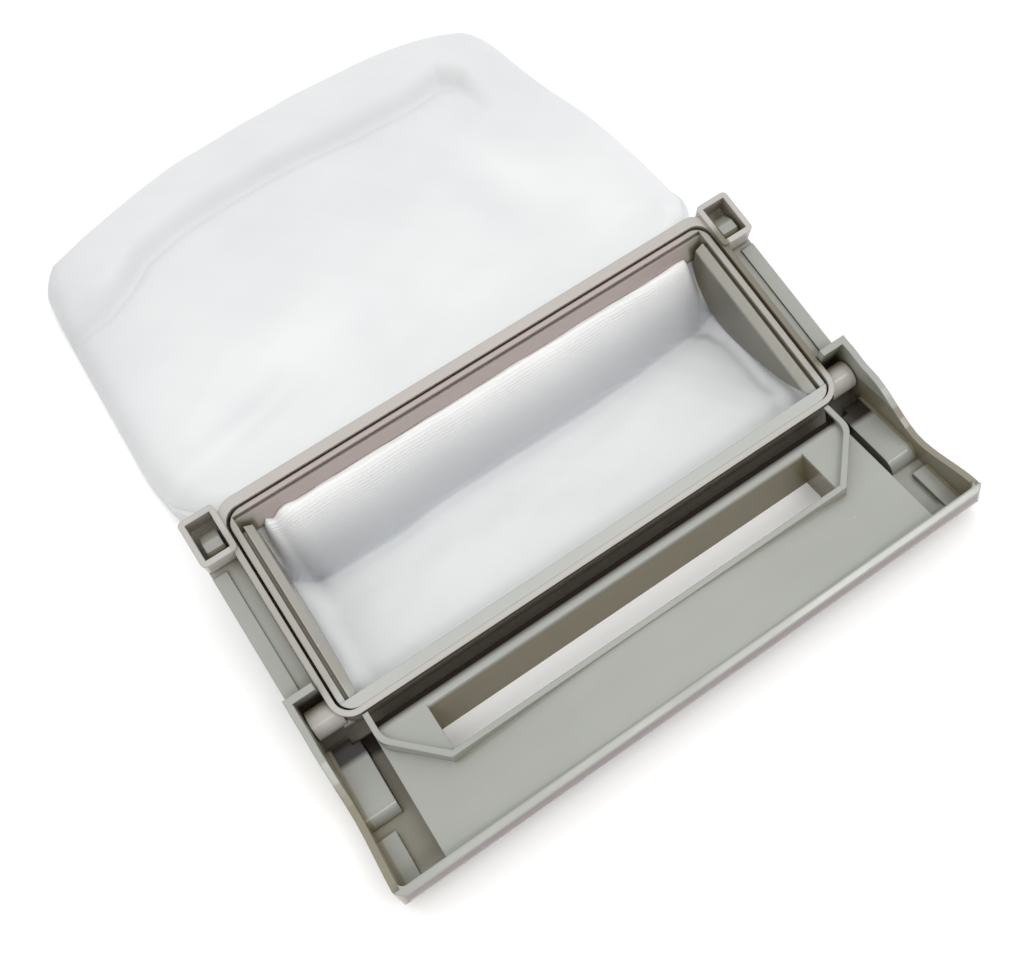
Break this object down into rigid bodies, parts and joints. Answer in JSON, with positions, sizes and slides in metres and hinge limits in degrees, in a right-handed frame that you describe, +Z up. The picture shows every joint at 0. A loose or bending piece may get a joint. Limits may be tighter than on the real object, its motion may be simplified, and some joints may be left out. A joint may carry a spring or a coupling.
{
  "type": "washing machine lint filter",
  "caption": "Lint filter with a moulded slotted cover, a hinged rectangular net frame latched on two arms, and a soft white net bag lying behind it.",
  "frame": {"origin": "middle of the footprint on the table", "axes": "+X along the hinge, +Y from the cover towards the bag, +Z up from the table"},
  "size_m": [0.15, 0.2294, 0.0311],
  "materials": {
    "cover_plastic": "glossy grey-beige moulded plastic",
    "frame_plastic": "glossy warm grey-beige moulded plastic",
    "retainer_plastic": "glossy grey-beige moulded plastic",
    "white_net": "fine white woven net with a soft sheen"
  },
  "bodies": {
    "cover": {"cover": "cover_plastic"},
    "frame": {"net_frame": "frame_plastic", "retainer": "retainer_plastic", "net_bag": "white_net"}
  },
  "joints": [
    {"name": "net_frame_hinge", "type": "hinge", "parent": "cover", "child": "frame", "pos_m": [0, -0.07271, 0.00895], "axis": [1, 0, 0], "range_deg": [0, 90]}
  ]
}
